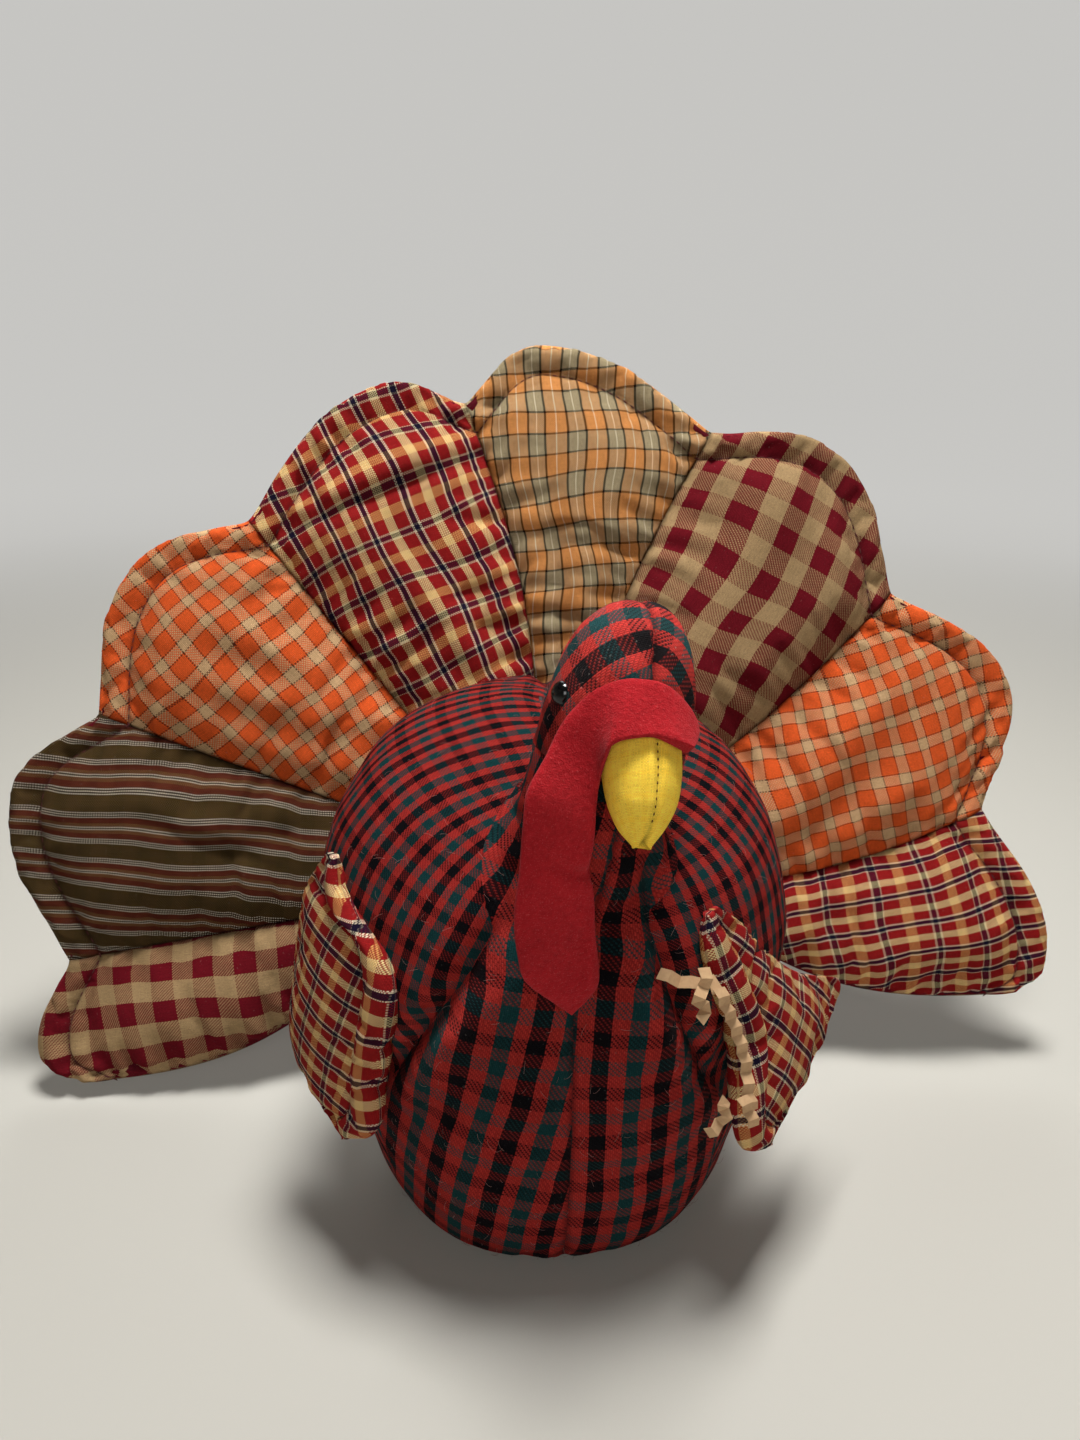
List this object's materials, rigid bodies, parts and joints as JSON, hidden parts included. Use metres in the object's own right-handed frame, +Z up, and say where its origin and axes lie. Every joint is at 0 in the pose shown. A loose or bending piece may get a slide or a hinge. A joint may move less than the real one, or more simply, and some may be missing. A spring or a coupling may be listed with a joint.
{
  "type": "thanksgiving turkey figure",
  "caption": "Stuffed cloth turkey with a round plaid body, upright neck, yellow beak, felt snood, padded wings and a scalloped patchwork fan tail; stands on a shelf or table.",
  "frame": {"origin": "middle of the flat base panel, on its underside", "axes": "+Z up, the bird faces -Y, its own left side is +X"},
  "size_m": [0.3986, 0.2068, 0.2689],
  "materials": {
    "body_tartan": "woven cotton, matte",
    "stuffing": "loose fibre filling",
    "bead": "polished black",
    "beak_cotton": "plain woven cotton, matte",
    "red_felt": "pressed felt, matte",
    "red_plaid": "woven cotton, matte",
    "burgundy_gingham": "woven cotton, matte",
    "olive_stripe": "woven cotton, matte",
    "orange_check": "woven cotton, matte",
    "tan_windowpane": "woven cotton, matte",
    "lining": "woven cotton, matte",
    "crimped_paper": "uncoated paper, crimped"
  },
  "bodies": {
    "bird": {"torso_panel_left": "body_tartan", "torso_panel_right": "body_tartan", "base_panel": "body_tartan", "torso_stuffing": "stuffing", "neck_panel_left": "body_tartan", "neck_panel_right": "body_tartan", "neck_stuffing": "stuffing", "eye_left": "bead", "eye_right": "bead", "beak_panel_left": "beak_cotton", "beak_panel_right": "beak_cotton", "beak_stuffing": "stuffing", "snood_bridge": "red_felt"},
    "snood_flap_body": {"snood_flap": "red_felt"},
    "wing_left_body": {"wing_left_outer_cloth": "red_plaid", "wing_left_inner_cloth": "red_plaid", "wing_left_batting": "stuffing", "paper_strand_upper": "crimped_paper", "paper_strand_long": "crimped_paper", "paper_strand_lower": "crimped_paper"},
    "wing_right_body": {"wing_right_outer_cloth": "red_plaid", "wing_right_inner_cloth": "red_plaid", "wing_right_batting": "stuffing"},
    "tail_body": {"tail_patch_1": "burgundy_gingham", "tail_patch_2": "olive_stripe", "tail_patch_3": "orange_check", "tail_patch_4": "red_plaid", "tail_patch_5": "tan_windowpane", "tail_patch_6": "burgundy_gingham", "tail_patch_7": "orange_check", "tail_patch_8": "red_plaid", "tail_batting": "stuffing", "tail_lining_right": "lining", "tail_lining_left": "lining"}
  },
  "joints": [
    {"name": "snood_swing", "type": "hinge", "parent": "bird", "child": "snood_flap_body", "pos_m": [-0.00521, -0.05634, 0.17464], "axis": [-0.9781, -0.2079, 0], "range_deg": [0, 50]},
    {"name": "wing_left_flap", "type": "hinge", "parent": "bird", "child": "wing_left_body", "pos_m": [0.0462, -0.0341, 0.1245], "axis": [-0.6428, -0.766, 0], "range_deg": [0, 50]},
    {"name": "wing_right_flap", "type": "hinge", "parent": "bird", "child": "wing_right_body", "pos_m": [-0.06682, -0.0127, 0.1285], "axis": [-0.5878, 0.809, 0], "range_deg": [0, 50]},
    {"name": "tail_tilt", "type": "hinge", "parent": "bird", "child": "tail_body", "pos_m": [0, 0.06943, 0.076], "axis": [-1, 0, 0], "range_deg": [0, 10], "stiffness_Nm_per_rad": 0.5, "springref_deg": -6.88}
  ]
}
